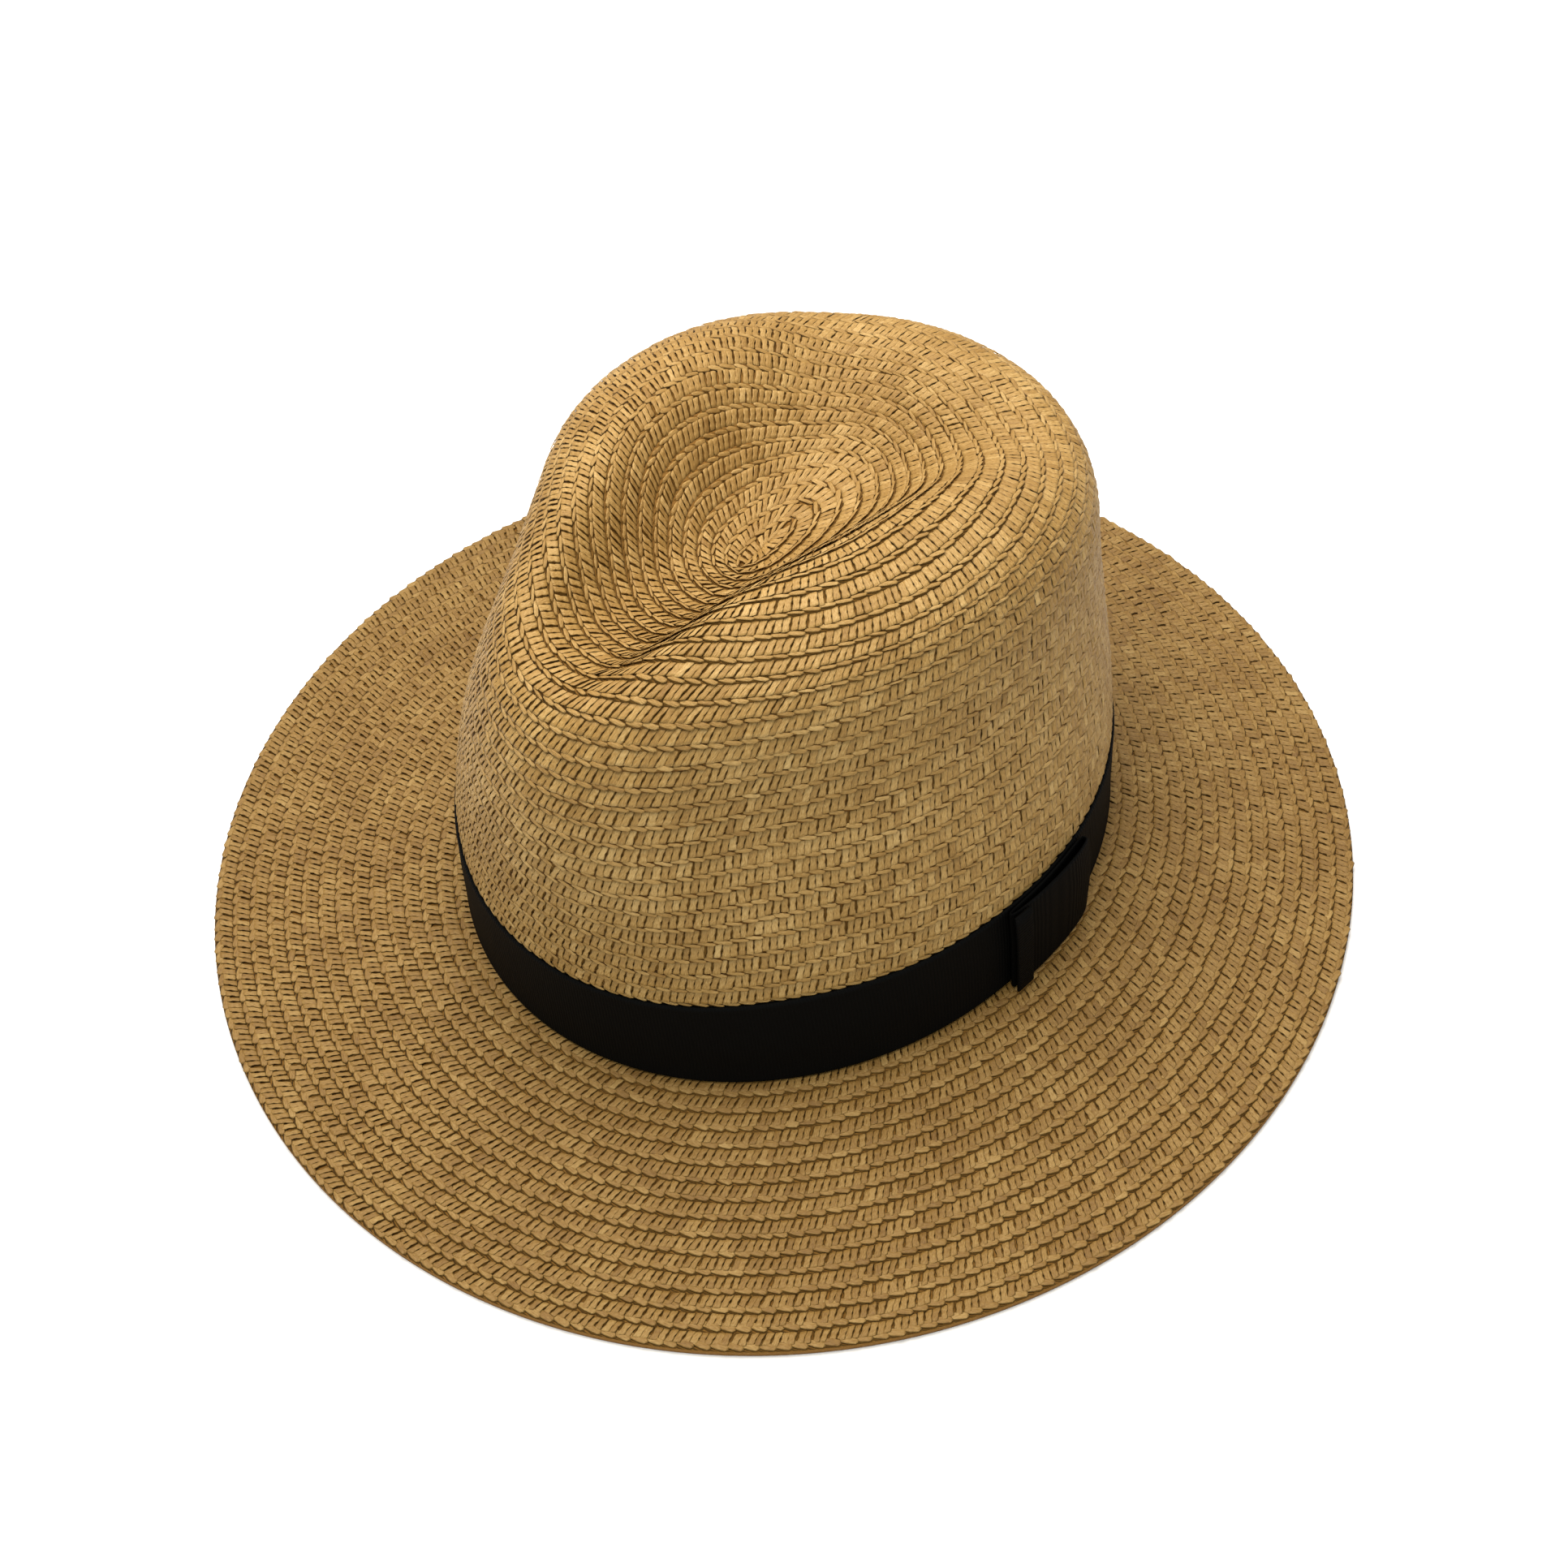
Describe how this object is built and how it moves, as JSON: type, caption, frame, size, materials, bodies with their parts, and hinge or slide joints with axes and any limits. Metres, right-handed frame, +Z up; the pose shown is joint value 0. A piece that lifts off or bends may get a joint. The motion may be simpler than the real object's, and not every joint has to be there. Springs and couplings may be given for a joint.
{
  "type": "straw fedora hat",
  "caption": "Straw fedora-style sun hat with a creased, pinched crown, a wide flat brim and a black ribbon with a flat side bow.",
  "frame": {"origin": "floor point under the middle of the brim", "axes": "+Z up through the crown, +Y from the front of the hat to the back, +X to the wearer's left, where the bow is"},
  "size_m": [0.327, 0.3344, 0.1314],
  "materials": {
    "straw_crown": "matte sewn paper-straw braid",
    "straw_brim": "matte sewn paper-straw braid",
    "ribbon": "ribbed black ribbon",
    "bow_ribbon": "smooth black ribbon"
  },
  "bodies": {
    "root": {"crown": "straw_crown", "brim": "straw_brim", "ribbon_band": "ribbon", "bow_loop": "bow_ribbon", "bow_keeper": "bow_ribbon"}
  },
  "joints": []
}
